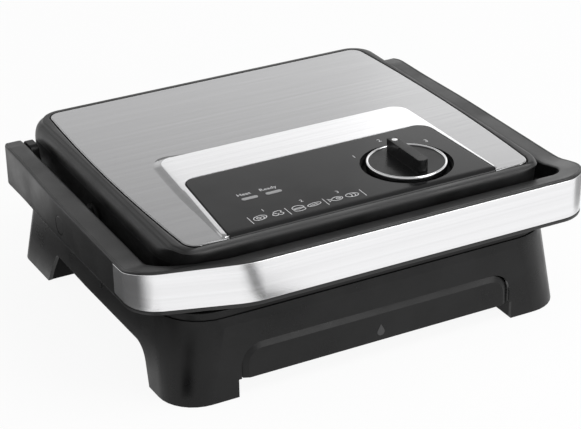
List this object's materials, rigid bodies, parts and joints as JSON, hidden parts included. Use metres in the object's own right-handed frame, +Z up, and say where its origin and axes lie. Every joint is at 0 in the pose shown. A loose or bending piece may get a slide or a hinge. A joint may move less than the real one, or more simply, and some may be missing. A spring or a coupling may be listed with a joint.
{
  "type": "electric contact grill",
  "caption": "Countertop contact grill: ribbed lower and upper plates, a lid that floats in a hinged U-shaped handle, a thermostat knob on the lid and a front drip drawer.",
  "frame": {"origin": "middle of the footprint, at the height of the feet", "axes": "+Z up, -Y is the front with the steel handle band and drip drawer, +X to the right seen from the front"},
  "size_m": [0.34, 0.28, 0.1225],
  "materials": {
    "black_plastic": "satin",
    "panel_gloss": "semi-gloss",
    "brushed_steel": "brushed",
    "ring_chrome": "polished",
    "coated_cast": "non-stick coating",
    "element_steel": "heat-darkened",
    "zinc_steel": "zinc plated",
    "pad_rubber": "matte",
    "white_plastic": "satin",
    "lens_plastic": "frosted",
    "board_green": "satin"
  },
  "bodies": {
    "base": {"base_housing": "black_plastic", "foot_shells": "black_plastic", "base_deck": "black_plastic", "leg_linings": "black_plastic", "base_collar": "black_plastic", "base_side_covers": "black_plastic", "foot_pads": "pad_rubber", "foot_screws": "zinc_steel", "lower_grill_plate": "coated_cast", "lower_element": "element_steel", "lower_heat_shield": "zinc_steel", "lower_plate_screws": "zinc_steel", "grease_chute": "coated_cast", "tray_rails": "black_plastic", "terminal_block": "white_plastic", "cord_gland": "pad_rubber", "hinge_brackets": "zinc_steel", "hinge_covers": "black_plastic", "hinge_screws": "zinc_steel", "hinge_pins": "zinc_steel"},
    "drawer": {"drip_tray": "black_plastic", "drawer_front": "black_plastic"},
    "handle": {"handle_frame": "black_plastic", "handle_underside": "black_plastic", "handle_band": "brushed_steel", "arm_straps": "zinc_steel", "pivot_pins": "zinc_steel", "pivot_caps": "black_plastic", "handle_screws": "zinc_steel"},
    "lid": {"lid_housing": "black_plastic", "lid_top_plate": "brushed_steel", "control_panel": "panel_gloss", "lid_liner": "black_plastic", "upper_grill_plate": "coated_cast", "upper_element": "element_steel", "upper_heat_shield": "zinc_steel", "upper_plate_screws": "zinc_steel", "pivot_bushes": "black_plastic", "dial_well": "black_plastic", "thermostat": "white_plastic", "thermostat_bracket": "zinc_steel", "indicator_lenses": "lens_plastic", "indicator_board": "board_green"},
    "knob": {"knob_body": "panel_gloss", "knob_ring": "ring_chrome", "knob_dot": "white_plastic", "thermostat_shaft": "zinc_steel"}
  },
  "joints": [
    {"name": "handle_hinge", "type": "hinge", "parent": "base", "child": "handle", "pos_m": [0, 0.116, 0.077], "axis": [-1, 0, 0], "range_deg": [0, 100]},
    {"name": "lid_float", "type": "hinge", "parent": "handle", "child": "lid", "pos_m": [0, 0.013, 0.079], "axis": [1, 0, 0], "range_deg": [-3, 1.2]},
    {"name": "knob_turn", "type": "hinge", "parent": "lid", "child": "knob", "pos_m": [0.0537, -0.0784, 0.112], "axis": [0, 0, 1], "range_deg": [-48, 48]},
    {"name": "drawer_slide", "type": "slide", "parent": "base", "child": "drawer", "axis": [0, -1, 0], "range_m": [0, 0.15]}
  ]
}
